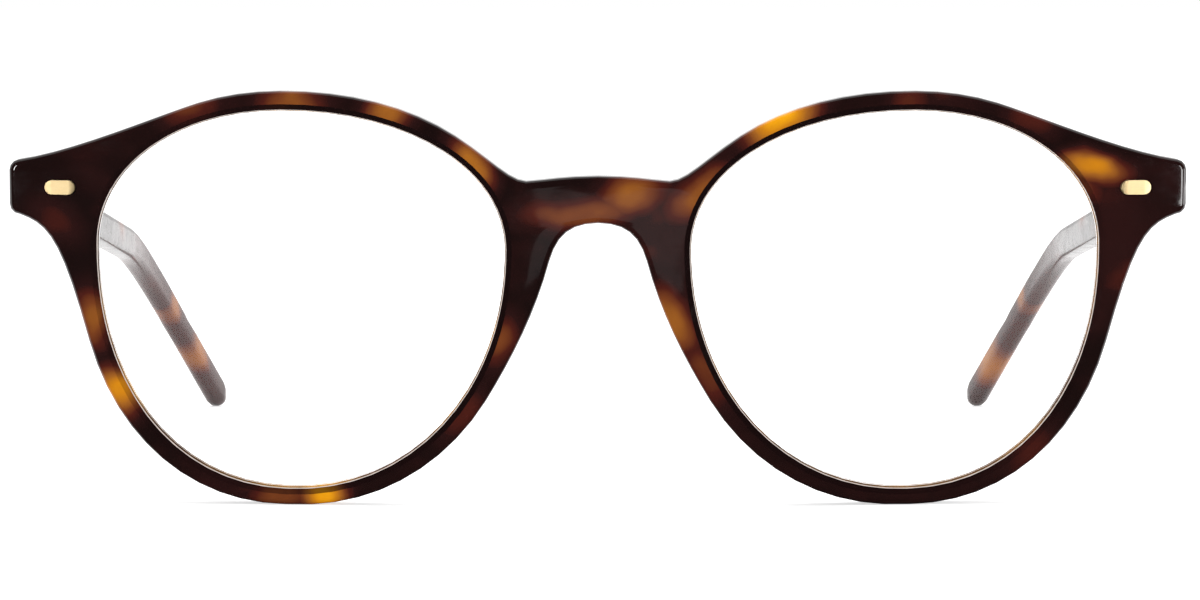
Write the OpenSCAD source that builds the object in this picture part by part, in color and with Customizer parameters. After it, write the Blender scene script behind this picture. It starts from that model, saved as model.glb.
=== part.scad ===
// Round acetate spectacles, standing open on the rims and the temple tips.
// X runs across the face, Y runs from the front back to the temple tips, Z is up.
// Right and left are the wearer's, so the right side lies at negative X.

/* [Lenses] */
// Width of one lens, measured as a box
lens_w = 49.7; // [48.7:0.1:50.7]
// Height of one lens, measured as a box
lens_h = 46.1; // [45.1:0.1:47.1]
// Thickness of a lens
lens_t = 2; // [1.6:0.1:2.2]
// Least distance between the two lenses
bridge_w = 20.9; // [19.9:0.1:21.9]
// How far the widest line of a lens lies above its middle
widest_up = 6; // [4:0.5:8]
// Height difference of the widest line between the temple side and the nose side
widest_slant = 0.4; // [0:0.1:2]
// How far the highest point of a lens is shifted towards the temple
crown_shift = 2.1; // [0:0.1:4]
// How far the lowest point of a lens is shifted towards the temple
foot_shift = 0.8; // [0:0.1:2]
// Fullness of the lower half of a lens on the temple side, where 2 is a plain ellipse
lower_fullness = 2.18; // [2.02:0.02:2.4]
// Fullness of the lower half of a lens on the nose side
lower_nose_fullness = 2.06; // [2.02:0.02:2.4]
// Fullness of the upper half of a lens
upper_fullness = 2.08; // [2.02:0.02:2.3]

/* [Front] */
// How far the end pieces reach beyond the lenses
end_reach = 10.15; // [9.15:0.05:12]
// Thickness of the front
front_t = 4.2; // [4:0.1:5]
// Radius that the whole front is curved to
front_curve_r = 330; // [280:5:450]
// Rim above the lens opening
rim_top = 2.2; // [1.8:0.1:3]
// Rim below the lens opening
rim_bottom = 1.9; // [1.6:0.1:3]
// Rim beside the lower half of the lens opening
rim_side = 2.45; // [2:0.05:3]
// Radius of the outer edges of the front
edge_r = 0.7; // [0.4:0.05:0.9]
// Width of the bevel round the lens openings
bevel_w = 0.65; // [0.4:0.05:0.8]
// Depth of the bevel round the lens openings
bevel_d = 0.5; // [0.3:0.05:0.7]

/* [Lens groove] */
// Depth of the groove that holds a lens
groove_d = 0.45; // [0.35:0.05:0.6]
// Width of the groove at its mouth
groove_w = 1.1; // [1:0.1:1.4]
// Width of the groove at its bottom
groove_bottom_w = 0.6; // [0.5:0.05:0.8]
// How far the rim closes in behind a lens
back_lip = 0.2; // [0.1:0.05:0.3]
// Play between a lens and its rim
lens_play = 0.05; // [0.03:0.01:0.08]

/* [Bridge] */
// Top of the bridge below the top of the rims
bridge_drop = 10; // [9.2:0.1:11.2]
// Half width of the bridge between the notches beside the rims
notch_half_w = 8.5; // [7.4:0.1:9]
// How far the notches lie below the middle of the bridge
notch_dip = 0.6; // [0.3:0.1:0.9]
// Height of the bridge at its middle
bridge_h = 5.6; // [4.5:0.1:7]
// Half width of the arch at its shoulders
arch_half_w = 5.75; // [4.8:0.05:6.6]
// Height of the arch above its shoulders
arch_rise = 4.5; // [3.5:0.1:5.5]

/* [End pieces] */
// Height of an end piece
end_h = 6.6; // [6.3:0.1:7]
// Top of an end piece below the top of the rims
end_drop = 8.3; // [6.5:0.1:10]
// Radius of the corners of an end piece
end_corner = 1.3; // [0.8:0.1:1.8]

/* [Plaques] */
// Length of a plaque
plaque_l = 3.7; // [3:0.1:4.5]
// Height of a plaque
plaque_h = 1.7; // [1.4:0.05:2.4]
// Depth that a plaque is let into the acetate
plaque_sunk = 0.3; // [0.2:0.05:0.4]
// Height that a plaque stands proud
plaque_proud = 0.3; // [0.2:0.05:0.5]
// Middle of a front plaque from the end of the front
plaque_in = 6.25; // [5:0.05:7]
// Middle of a temple plaque from the hinge axis
plaque_back = 4.2; // [3.8:0.1:4.8]
// Distance between the two posts of a plaque
post_pitch = 1.9; // [1.6:0.05:2.2]
// Diameter of a post
post_dia = 0.9; // [0.7:0.05:1]

/* [Hinges] */
// Diameter of the hinge barrels
barrel_dia = 2.5; // [2.2:0.1:2.8]
// Height of the whole stack of five barrels
hinge_h = 5; // [4.4:0.1:5.4]
// Diameter of the hinge screw
screw_dia = 1.2; // [1:0.05:1.4]
// Diameter of the screw head
head_dia = 2.1; // [1.8:0.1:2.2]
// Height of the screw head
head_h = 0.55; // [0.4:0.05:0.7]
// Thickness of a hinge leaf
leaf_t = 1.05; // [0.9:0.05:1.2]
// Depth that a hinge leaf is sunk into the acetate
leaf_sunk = 0.6; // [0.4:0.05:0.7]
// Length of the leaf on the front
front_leaf_l = 4.4; // [4.2:0.1:4.7]
// Length of the leaf on the temple
temple_leaf_l = 7; // [6.6:0.1:9]
// Running clearance on the screw, all round
screw_clear = 0.05; // [0.02:0.01:0.1]
// Gap between neighbouring barrels
barrel_gap = 0.06; // [0.04:0.01:0.1]
// Gap between a barrel and the acetate beside it
barrel_clear = 0.1; // [0.08:0.01:0.2]
// Gap between a metal piece and the pocket that it is sunk into
pocket_play = 0.03; // [0.02:0.01:0.05]

/* [Temples] */
// Thickness of a temple
temple_t = 3.1; // [3:0.1:3.4]
// Height of a temple at the hinge
temple_butt_h = 6.2; // [5.6:0.1:6.6]
// Height of a temple along its run
temple_h = 4.1; // [3.4:0.1:5]
// Height of a temple tip
tip_h = 4.2; // [4:0.1:6]
// Thickness of a temple at its tip
tip_t = 2.8; // [2.7:0.05:3]
// Length over which a temple narrows from the hinge
taper_l = 30; // [20:1:45]
// Straight length from the butt to the ear bend
temple_run = 96; // [80:1:105]
// Radius of the ear bend
bend_r = 42; // [25:1:60]
// Slope of the straight run, down towards the back
temple_slope = 7.5; // [4:0.1:9]
// Slope of the tip beyond the ear bend
tip_slope = 48; // [40:1:58]
// Inward angle of the straight run
run_inward = 2.6; // [0:0.1:3]
// Inward angle of the tip
tip_inward = 19; // [8:1:22]
// Gap between a temple butt and the end piece
butt_gap = 0.06; // [0.04:0.01:0.2]
// Radius of the long edges of a temple
temple_edge_r = 0.9; // [0.8:0.05:1.3]
// Radius of the long edges at the tip
tip_edge_r = 1.25; // [0.9:0.05:1.3]
// Diameter of the core wire
wire_dia = 1.2; // [1:0.05:1.3]
// Play of the core wire in its channel, all round
wire_play = 0.03; // [0.02:0.01:0.05]
// Length of temple tip beyond the core wire
wire_short = 12; // [8:1:20]

/* [Nose pads] */
// Height that a nose pad stands off the back of the rim
pad_h = 4.6; // [3:0.1:5.5]
// How far the ridge of a nose pad leans away from the nose
pad_lean = 0.9; // [0.5:0.1:1.2]
// Thickness of the cement under a nose pad
cement = 0.03; // [0.02:0.01:0.05]

/* [Hidden] */
$fn = 48;

// Opening of the rim that a lens shows in, and the four half axes of its outline
reach = groove_d - lens_play;
opening_w = lens_w - 2 * reach;
opening_h = lens_h - 2 * reach;
nose_x = bridge_w / 2 + reach;
temple_x = nose_x + opening_w;
low_z = rim_bottom;
high_z = low_z + opening_h;
mid_x = (nose_x + temple_x) / 2;
low_x = mid_x + foot_shift;
crown_x = mid_x + crown_shift;
wide_out_z = (low_z + high_z) / 2 + widest_up + widest_slant;
wide_in_z = wide_out_z - widest_slant;

// Heights and widths of the front
top_z = high_z + rim_top;
saddle_z = top_z - bridge_drop;
arch_z = saddle_z - bridge_h;
end_top = top_z - end_drop;
end_bottom = end_top - end_h;
hinge_z = (end_top + end_bottom) / 2;
end_x = bridge_w / 2 + lens_w + end_reach;
back_edge_r = 0.45;
back_bevel = 0.3;

// Lens and groove, measured back from the front face
lens_below_bevel = 0.4;
lens_y = bevel_d + lens_below_bevel;
groove_y = lens_y + (lens_t - groove_w) / 2;
groove_slant = (groove_w - groove_bottom_w) / 2;

// Hinge: its axis stands off the back of the front and off the inner side of the temple
leaf_proud = leaf_t - leaf_sunk;
axis_back = barrel_dia / 2 + barrel_clear;
axis_off_leaf = 0.45;
axis_in = axis_off_leaf + leaf_proud;
temple_inset = 0.05;
hinge_x = end_x - temple_inset - temple_t - axis_in;
hinge_y = front_t + front_curve_r - sqrt(pow(front_curve_r - axis_back, 2) - pow(hinge_x, 2));
face_tilt = asin(hinge_x / (front_curve_r - axis_back));
barrel_h = (hinge_h - 4 * barrel_gap) / 5;
barrel_pitch = barrel_h + barrel_gap;
bore_r = screw_dia / 2 + screw_clear;

// Front plaque seen from the hinge axis, along the face and square to it
plaque_dx = end_x - plaque_in - hinge_x;
plaque_dy = sag([end_x - plaque_in, hinge_z]) - hinge_y;
plaque_u = plaque_dx * cos(face_tilt) + plaque_dy * sin(face_tilt);
plaque_v = plaque_dy * cos(face_tilt) - plaque_dx * sin(face_tilt);
post_short = 0.05;

// Plates of the hinge leaves: how far they run past the axis, and the heights of the temple's one
front_plate_shift = 0.9;
plate_past_axis = 0.3;
temple_knuckle_l = 1.6;
temple_strap_h = 3.2;
cut_through = 1;

// Depth that the curve of the front gives to a point of it
function sag(p) = front_curve_r - sqrt(pow(front_curve_r, 2) - pow(p[0], 2) - pow(p[1] - hinge_z, 2));
function bowed(p, d) = [p[0], d + sag(p), p[1]];

function heading(a) = [cos(a), sin(a)];
function spread(a, b, n) = [for (i = [0:n - 1]) mix(a, b, i / n)];
function unit(v) = v / norm(v);
function signed_pow(v, e) = sign(v) * pow(abs(v), e);
function mix(a, b, u) = a + (b - a) * u;
function ease(u) = let (v = min(1, max(0, u))) v * v * (3 - 2 * v);

// Points of a curve from p to s without its last one: it leaves along d for the share a of the whole
// distance, and arrives along e for the share b
function curve(p, d, a, s, e, b, n) = let (l = norm(s - p), q = p + d * a * l, r = s - e * b * l)
    [for (i = [0:n - 1]) let (u = i / n, v = 1 - u)
    v * v * v * p + 3 * v * v * u * q + 3 * v * u * u * r + u * u * u * s];

// Outline of the opening: turn 0 points to the temple, 90 up
function fullness(t) = sin(t) >= 0 ? upper_fullness : cos(t) < 0 ? lower_nose_fullness : lower_fullness;
function middle(t) = [sin(t) < 0 ? low_x : crown_x, cos(t) < 0 ? wide_in_z : wide_out_z];
function half_w(t) = cos(t) < 0 ? middle(t)[0] - nose_x : temple_x - middle(t)[0];
function half_h(t) = sin(t) < 0 ? middle(t)[1] - low_z : high_z - middle(t)[1];
function opening(t) = middle(t) + [half_w(t) * signed_pow(cos(t), 2 / fullness(t)),
    half_h(t) * signed_pow(sin(t), 2 / fullness(t))];
function outward(t) = let (e = 2 - 2 / fullness(t))
    unit([signed_pow(cos(t), e) / half_w(t), signed_pow(sin(t), e) / half_h(t)]);
function rim_width(t) = sin(t) < 0 ? mix(rim_bottom, rim_side, abs(cos(t))) : rim_top;
function rim(t) = opening(t) + outward(t) * rim_width(t);
function along(t) = [outward(t)[1], -outward(t)[0]];
function turn_of(p) = let (c = [crown_x, wide_out_z])
    atan2((p[1] - c[1]) / (p[1] > c[1] ? high_z - c[1] : c[1] - low_z),
    (p[0] - c[0]) / (p[0] > c[0] ? temple_x - c[0] : c[0] - nose_x));

// Places where the outline of the front changes from one curve to the next
notch = [notch_half_w, saddle_z - notch_dip];
shoulder = [arch_half_w, arch_z - arch_rise];
upper_mid = [end_x - end_corner, end_top - end_corner];
lower_mid = [end_x - end_corner, end_bottom + end_corner];
end_slope = -8;
brow_from = 136;
brow_to = 66;
cheek_from = -20;
cheek_to = -145;
corner_from = upper_mid + end_corner * heading(90 + end_slope);
corner_to = lower_mid + end_corner * heading(-90);

// Outer outline of one half, from the middle of the saddle round to the middle of the arch
saddle_line = curve([0, saddle_z], heading(0), 0.5, notch, heading(-4), 0.37, 4);
notch_line = curve(notch, heading(0), 0.19, rim(brow_from), along(brow_from), 0.5, 6);
brow_line = [for (t = spread(brow_from, brow_to, 12)) rim(t)];
end_line = curve(rim(brow_to), along(brow_to), 0.22, corner_from, heading(end_slope), 0.285, 10);
corner_line = concat([for (i = [0:3]) upper_mid + end_corner * heading((90 + end_slope) * (1 - i / 3))],
    [for (i = [0:2]) lower_mid + end_corner * heading(-30 * i)]);
cheek_line = curve(corner_to, heading(200), 0.206, rim(cheek_from), along(cheek_from), 0.757, 9);
lower_line = [for (t = spread(cheek_from, cheek_to, 22)) rim(t)];
nose_line = curve(rim(cheek_to), along(cheek_to), 0.346, shoulder, heading(105), 0.335, 8);
arch_line = curve(shoulder, heading(106), 0.45, [0, arch_z], heading(180), 0.44, 6);
outline = concat(saddle_line, notch_line, brow_line, end_line, corner_line, cheek_line,
    lower_line, nose_line, arch_line, [[0, arch_z]]);
last = len(outline) - 1;
nose_start = len(saddle_line) + len(notch_line) + len(brow_line) + len(end_line) + len(corner_line)
    + len(cheek_line) + len(lower_line);

// The same places as turns about the opening, for pairing the outline with the opening
saddle_turn = turn_of([0, saddle_z]);
arch_turn = turn_of([0, arch_z]) - 360;
turns = concat(spread(saddle_turn, turn_of(notch), len(saddle_line)),
    spread(turn_of(notch), brow_from, len(notch_line)), spread(brow_from, brow_to, len(brow_line)),
    spread(brow_to, turn_of(corner_from), len(end_line)),
    spread(turn_of(corner_from), turn_of(corner_to), len(corner_line)),
    spread(turn_of(corner_to), cheek_from, len(cheek_line)), spread(cheek_from, cheek_to, len(lower_line)),
    spread(cheek_to, turn_of(shoulder), len(nose_line)), spread(turn_of(shoulder), arch_turn, len(arch_line)),
    spread(arch_turn, saddle_turn - 360, 3));
count = len(turns);

// Outer point of a sample and the way out of the acetate there; the last samples run up the middle line
function outer(i) = i <= last ? outline[i]
    : [0, mix(arch_z + back_edge_r, saddle_z - edge_r, (i - last) / (count - last))];
function way_out(i) = i == 0 ? [0, 1] : i >= last ? [0, -1]
    : let (v = unit(outline[i + 1] - outline[i - 1])) [-v[1], v[0]];

// Section of the front at one sample: back face, outer wall, front face, bevel, groove
function section(i) = let (a = opening(turns[i]), n = outward(turns[i]), p = outer(i), m = way_out(i),
    f = i > last ? [0, 0] : m * edge_r, b = i > last ? [0, 0] : m * back_edge_r,
    inner_front = a + n * bevel_w, lip = a - n * back_lip, inner_back = lip + n * back_bevel) [
    bowed((inner_back + p - b) / 2, front_t),
    bowed(p - b, front_t),
    bowed(p - b * (1 - cos(45)), front_t - back_edge_r * (1 - sin(45))),
    bowed(p, front_t - back_edge_r),
    bowed(p, edge_r),
    bowed(p - f * (1 - cos(30)), edge_r * (1 - sin(30))),
    bowed(p - f * (1 - cos(60)), edge_r * (1 - sin(60))),
    bowed(p - f, 0),
    bowed((inner_front + p - f) / 2, 0),
    bowed(inner_front, 0),
    bowed(a, bevel_d),
    bowed(a, groove_y),
    bowed(a + n * groove_d, groove_y + groove_slant),
    bowed(a + n * groove_d, groove_y + groove_w - groove_slant),
    bowed(lip, groove_y + groove_w),
    bowed(lip, front_t - back_bevel),
    bowed(inner_back, front_t)];
wall_from = 1;
wall_to = 7;
ring = 17;

// Number of a point of the front; both halves share those on the middle line
function on_middle(i, j) = (i == 0 || i >= last) && j >= wall_from && j <= wall_to;
function id(half, i, j) = (on_middle(i % count, j) ? 0 : half * count * ring) + (i % count) * ring + j;
function open_cell(i, j) = i < last || j < wall_from || j >= wall_to;
function cell(half, i, j) = let (k = (j + 1) % ring,
    q = [id(half, i, j), id(half, i + 1, j), id(half, i + 1, k), id(half, i, k)])
    half == 0 ? [[q[0], q[1], q[2]], [q[0], q[2], q[3]]] : [[q[2], q[1], q[0]], [q[3], q[2], q[0]]];

module front_blank() {
  half = [for (i = [0:count - 1]) each section(i)];
  other = [for (p = half) [-p[0], p[1], p[2]]];
  polyhedron(concat(half, other), [for (h = [0:1], i = [0:count - 1], j = [0:ring - 1])
      if (open_cell(i, j)) each cell(h, i, j)]);
}

// Solid through a list of loops that all have as many points, closed at both ends by a fan
module skin(loops, start, end) {
  n = len(loops[0]);
  m = len(loops);
  sides = [for (i = [0:m - 2], j = [0:n - 1]) let (k = (j + 1) % n)
      each [[i * n + j, (i + 1) * n + j, (i + 1) * n + k], [i * n + j, (i + 1) * n + k, i * n + k]]];
  first_fan = [for (j = [0:n - 1]) [m * n, j, (j + 1) % n]];
  last_fan = [for (j = [0:n - 1]) [m * n + 1, (m - 1) * n + (j + 1) % n, (m - 1) * n + j]];
  polyhedron(concat([for (l = loops) each l], [start, end]), concat(sides, first_fan, last_fan));
}

// Lens from the middle of its front over the edge to the middle of its back
function lens_loop(share, out, d) = [for (t = turns) let (c = [mid_x, (low_z + high_z) / 2],
    p = opening(t) + outward(t) * out) bowed(c + (p - c) * share, d)];
function flank(out) = groove_y + lens_play + groove_slant * out / groove_d;
module lens() {
  back = lens_y + lens_t;
  mid = [mid_x, (low_z + high_z) / 2];
  skin([lens_loop(0.6, -lens_play, lens_y), lens_loop(1, -lens_play, lens_y),
      lens_loop(1, -lens_play, flank(-lens_play)), lens_loop(1, reach, flank(reach)),
      lens_loop(1, reach, 2 * lens_y + lens_t - flank(reach)),
      lens_loop(1, -back_lip - lens_play, 2 * lens_y + lens_t - flank(-lens_play)),
      lens_loop(1, -back_lip - lens_play, back), lens_loop(0.6, -lens_play, back)],
      bowed(mid, lens_y), bowed(mid, back));
}

// Nose pad along the nose side of a rim, with its ridge leaning away from the nose
pad_from = nose_start;
pad_steps = 6;
pad_half_w = 1.3;
pad_end_w = 0.6;
pad_end = 0.35;
function pad_loop(k) = let (i = pad_from + k, u = (k + pad_end) / (pad_steps + 2 * pad_end),
    swell = sqrt(sin(180 * u)), p = outer(i), m = way_out(i), a = opening(turns[i]),
    hw = min(pad_half_w, (norm(p - a) - back_edge_r - back_bevel) / 2) * mix(pad_end_w, 1, swell),
    c = p - m * (back_edge_r + hw), foot = front_t + cement)
    [for (g = [180:-22.5:0]) let (b = c + m * hw * cos(g), q = b - m * pad_lean * sin(g) * swell)
    [q[0], sag(b) + foot + pad_h * swell * sin(g), q[1]]];
module nose_pad() {
  loops = [for (k = [0:pad_steps]) pad_loop(k)];
  skin(loops, (loops[0][0] + loops[0][8] + loops[0][4]) / 3,
      (loops[pad_steps][0] + loops[pad_steps][8] + loops[pad_steps][4]) / 3);
}

// Path of a temple: slope down and angle inward over the length from the hinge
bend_l = bend_r * (tip_slope - temple_slope) * PI / 180;
function bend_share(s) = min(1, max(0, (s - temple_run) / bend_l));
function slope(s) = mix(temple_slope, tip_slope, bend_share(s));
function inward(s) = mix(run_inward, tip_inward, bend_share(s));
function ahead(s) = [-sin(inward(s)), cos(slope(s)) * cos(inward(s)), -sin(slope(s)) * cos(inward(s))];
function sideways(s) = [cos(inward(s)), sin(inward(s)) * cos(slope(s)), -sin(inward(s)) * sin(slope(s))];
function upward(s) = [0, sin(slope(s)), cos(slope(s))];
function walk(s, from) = [for (p = from, i = 0; i < len(s);
    p = i + 1 < len(s) ? p + (s[i + 1] - s[i]) * ahead((s[i] + s[i + 1]) / 2) : p, i = i + 1) p];
butt_off = axis_in + temple_t / 2;
butt_back = 0.8;
butt_mid = [hinge_x + butt_off * cos(run_inward) + butt_back * sin(run_inward),
    hinge_y + butt_off * sin(run_inward) - butt_back * cos(run_inward), hinge_z];
run_stops = concat([for (i = [0:10]) taper_l * i / 10],
    [for (i = [1:5]) mix(taper_l, temple_run, i / 5)], [for (i = [1:14]) temple_run + bend_l * i / 14]);
bend_end = walk(run_stops, butt_mid)[len(run_stops) - 1];
drop_l = (bend_end[2] - tip_h / 2) / (sin(tip_slope) * cos(tip_inward));
drop_s = temple_run + bend_l;
tip_s = drop_s + drop_l;
cap_stops = [for (g = [25, 45, 62, 76]) tip_s + tip_h / 2 * sin(g)];
cap_thin = 0.2;
tip_dome = 0.06;
stops = concat(run_stops, [for (i = [1:3]) drop_s + drop_l * i / 3], cap_stops);
path = walk(stops, butt_mid);
function round_off(s) = s <= tip_s ? 1 : sqrt(1 - pow((s - tip_s) / (tip_h / 2), 2));
function half_height(s) = (s < taper_l ? mix(temple_butt_h, temple_h, ease(s / taper_l))
    : mix(temple_h, tip_h, ease((s - temple_run) / (tip_s - temple_run)))) / 2 * round_off(s);
function half_thick(s) = mix(temple_t, tip_t, ease((s - taper_l) / (tip_s - taper_l))) / 2
    * mix(cap_thin, 1, round_off(s));
most_round = 0.95;
function corner_r(s) = min(mix(temple_edge_r, tip_edge_r, bend_share(s)),
    most_round * half_thick(s), most_round * half_height(s));
function rounded(w, h, r) = [for (c = [0:3], i = [0:3]) let (g = 90 * c + 30 * i,
    sx = (c == 0 || c == 3) ? 1 : -1, sy = c < 2 ? 1 : -1)
    [sx * (w - r) + r * cos(g), sy * (h - r) + r * sin(g)]];
function temple_loop(k) = let (s = stops[k], flat = rounded(half_thick(s), half_height(s), corner_r(s)))
    [for (q = flat) path[k] + q[0] * sideways(s) - q[1] * upward(s)];
function against_front(p) = [p[0], front_t + sag([p[0], p[2]]) + butt_gap, p[2]];
function middle_of(l) = [for (c = [0:2]) (max([for (p = l) p[c]]) + min([for (p = l) p[c]])) / 2];
temple_loops = concat([[for (p = temple_loop(0)) against_front(p)]],
    [for (k = [1:len(stops) - 1]) temple_loop(k)]);
depth = max([for (l = temple_loops, p = l) p[1]]);

// Core wire between the hinge leaf and the tip
wire_past_leaf = 3;
wire_stops = [for (k = [0:len(stops) - 1])
    if (stops[k] > temple_leaf_l + wire_past_leaf && stops[k] < tip_s + tip_h / 2 - wire_short) k];
function wire_loop(k, r, shift) = let (s = stops[k]) [for (g = [0:45:315])
    path[k] + shift * ahead(s) + r * cos(g) * sideways(s) - r * sin(g) * upward(s)];
module wire_shape(play) {
  n = len(wire_stops) - 1;
  r = wire_dia / 2 + play;
  loops = [for (i = [0:n]) wire_loop(wire_stops[i], r, i == 0 ? -play : i == n ? play : 0)];
  skin(loops, middle_of(loops[0]), middle_of(loops[n]));
}

module on_hinge() {
  translate([hinge_x, hinge_y, hinge_z])
    children();
}
module square_to_front() {
  on_hinge()
    rotate([0, 0, face_tilt])
      children();
}
module square_to_temple() {
  on_hinge()
    rotate([0, 0, run_inward])
      children();
}

// Plaque with its two posts: seen along its face, with its back at y = 0 and the posts running on along y
module stadium(l, h) {
  square([l - h, h], center = true);
  translate([(l - h) / 2, 0])
    circle(d = h);
  translate([(h - l) / 2, 0])
    circle(d = h);
}
module plaque_body(play) {
  translate([0, plaque_sunk, 0])
    rotate([90, 0, 0])
      linear_extrude(plaque_sunk + plaque_proud)
        stadium(plaque_l + 2 * play, plaque_h + 2 * play);
}
module posts(l, play) {
  for (side = [-1, 1])
    translate([side * post_pitch / 2, 0, 0])
      rotate([-90, 0, 0])
        cylinder(d = post_dia + 2 * play, h = l);
}

// Places of the plaques, with y running into the acetate
front_post_l = -plaque_v - axis_back + leaf_proud - post_short;
module at_front_plaque() {
  square_to_front()
    translate([plaque_u, plaque_v, 0])
      children();
}
temple_post_l = temple_t + leaf_proud - post_short;
module at_temple_plaque() {
  square_to_temple()
    translate([axis_in + temple_t, 0, 0])
      rotate([-temple_slope, 0, 0])
        translate([0, plaque_back, 0])
          rotate([0, 0, 90])
            children();
}

// Hinge leaves: a plate with its three or two barrels, bored for the screw
module barrels(which, r, h) {
  for (i = which)
    translate([0, 0, (i - 2) * barrel_pitch - h / 2])
      cylinder(r = r, h = h);
}
front_barrels = [0, 2, 4];
temple_barrels = [1, 3];
module bore() {
  translate([0, 0, -hinge_h])
    cylinder(r = bore_r, h = 2 * hinge_h);
}
module front_plate(play) {
  l = front_leaf_l + front_plate_shift;
  translate([-l - play, -axis_back - leaf_sunk - play, -hinge_h / 2 - play])
    cube([l + plate_past_axis + 2 * play, leaf_t + play, hinge_h + 2 * play]);
}
module temple_plate(play) {
  translate([axis_in - leaf_proud, -plate_past_axis - play, -hinge_h / 2 - play])
    cube([leaf_t + play, temple_knuckle_l + plate_past_axis + 2 * play, hinge_h + 2 * play]);
  translate([axis_in - leaf_proud, 0, 0])
    rotate([-temple_slope, 0, 0])
      translate([0, 0, -temple_strap_h / 2 - play])
        cube([leaf_t + play, temple_leaf_l + play, temple_strap_h + 2 * play]);
}

// Materials
module acetate() {
  color([0.36, 0.15, 0.06])
    children();
}
module clear_lens() {
  color([0.92, 0.95, 0.96, 0.3])
    children();
}
module gilt() {
  color([0.93, 0.78, 0.45])
    children();
}
module steel() {
  color([0.72, 0.72, 0.72])
    children();
}

// The row stands centred over its depth; the sources below are drawn for the wearer's left side
module centred() {
  translate([0, -depth / 2, 0])
    children();
}
module on_right() {
  mirror([1, 0, 0])
    children();
}

module front_cuts() {
  square_to_front()
    front_plate(pocket_play);
  at_front_plaque() {
    plaque_body(pocket_play);
    posts(front_post_l, pocket_play);
  }
}
module frame_front() {
  acetate()
    centred()
      difference() {
        front_blank();
        front_cuts();
        on_right()
          front_cuts();
      }
}
module lens_left() {
  clear_lens()
    centred()
      lens();
}
module lens_right() {
  clear_lens()
    centred()
      on_right()
        lens();
}
module nose_pad_left() {
  acetate()
    centred()
      nose_pad();
}
module nose_pad_right() {
  acetate()
    centred()
      on_right()
        nose_pad();
}

module front_plaque() {
  at_front_plaque() {
    plaque_body(0);
    posts(front_post_l, 0);
  }
}
module front_plaque_left() {
  gilt()
    centred()
      front_plaque();
}
module front_plaque_right() {
  gilt()
    centred()
      on_right()
        front_plaque();
}

module front_leaf() {
  difference() {
    square_to_front()
      difference() {
        union() {
          difference() {
            front_plate(0);
            barrels(temple_barrels, barrel_dia / 2 + barrel_clear, barrel_h + 2 * barrel_gap);
          }
          barrels(front_barrels, barrel_dia / 2, barrel_h);
        }
        bore();
      }
    at_front_plaque()
      posts(front_post_l + cut_through, pocket_play);
  }
}
module front_hinge_leaf_left() {
  steel()
    centred()
      front_leaf();
}
module front_hinge_leaf_right() {
  steel()
    centred()
      on_right()
        front_leaf();
}

module hinge_screw() {
  slot_w = 0.3;
  slot_d = 0.25;
  on_hinge()
    difference() {
      union() {
        translate([0, 0, -hinge_h / 2])
          cylinder(d = screw_dia, h = hinge_h + head_h / 2);
        translate([0, 0, hinge_h / 2])
          cylinder(d = head_dia, h = head_h);
      }
      translate([-head_dia, -slot_w / 2, hinge_h / 2 + head_h - slot_d])
        cube([2 * head_dia, slot_w, 2 * slot_d]);
    }
}
module hinge_screw_left() {
  steel()
    centred()
      hinge_screw();
}
module hinge_screw_right() {
  steel()
    centred()
      on_right()
        hinge_screw();
}

module temple() {
  butt = temple_loops[0];
  tip = temple_loops[len(temple_loops) - 1];
  difference() {
    skin(temple_loops, against_front(middle_of(butt)), middle_of(tip) + tip_dome * ahead(tip_s));
    wire_shape(wire_play);
    on_hinge()
      translate([0, 0, -hinge_h / 2 - barrel_clear])
        cylinder(r = barrel_dia / 2 + barrel_clear, h = hinge_h + head_h + 2 * barrel_clear);
    square_to_temple()
      temple_plate(pocket_play);
    at_temple_plaque() {
      plaque_body(pocket_play);
      posts(temple_post_l, pocket_play);
    }
  }
}
module temple_left() {
  acetate()
    centred()
      temple();
}
module temple_right() {
  acetate()
    centred()
      on_right()
        temple();
}

module temple_leaf() {
  difference() {
    square_to_temple()
      difference() {
        union() {
          difference() {
            temple_plate(0);
            barrels(front_barrels, barrel_dia / 2 + barrel_clear, barrel_h + 2 * barrel_gap);
          }
          barrels(temple_barrels, barrel_dia / 2, barrel_h);
        }
        bore();
      }
    at_temple_plaque()
      posts(temple_post_l + cut_through, pocket_play);
  }
}
module temple_hinge_leaf_left() {
  steel()
    centred()
      temple_leaf();
}
module temple_hinge_leaf_right() {
  steel()
    centred()
      on_right()
        temple_leaf();
}

module temple_plaque() {
  at_temple_plaque() {
    plaque_body(0);
    posts(temple_post_l, 0);
  }
}
module temple_plaque_left() {
  gilt()
    centred()
      temple_plaque();
}
module temple_plaque_right() {
  gilt()
    centred()
      on_right()
        temple_plaque();
}

module core_wire_left() {
  steel()
    centred()
      wire_shape(0);
}
module core_wire_right() {
  steel()
    centred()
      on_right()
        wire_shape(0);
}

frame_front();
lens_right();
lens_left();
nose_pad_right();
nose_pad_left();
front_plaque_right();
front_plaque_left();
front_hinge_leaf_right();
front_hinge_leaf_left();
hinge_screw_right();
hinge_screw_left();
temple_right();
temple_left();
temple_hinge_leaf_right();
temple_hinge_leaf_left();
temple_plaque_right();
temple_plaque_left();
core_wire_right();
core_wire_left();
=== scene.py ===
"""Round tortoiseshell spectacles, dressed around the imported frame."""

import logging
import math
from dataclasses import dataclass, field
from enum import Enum

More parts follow.
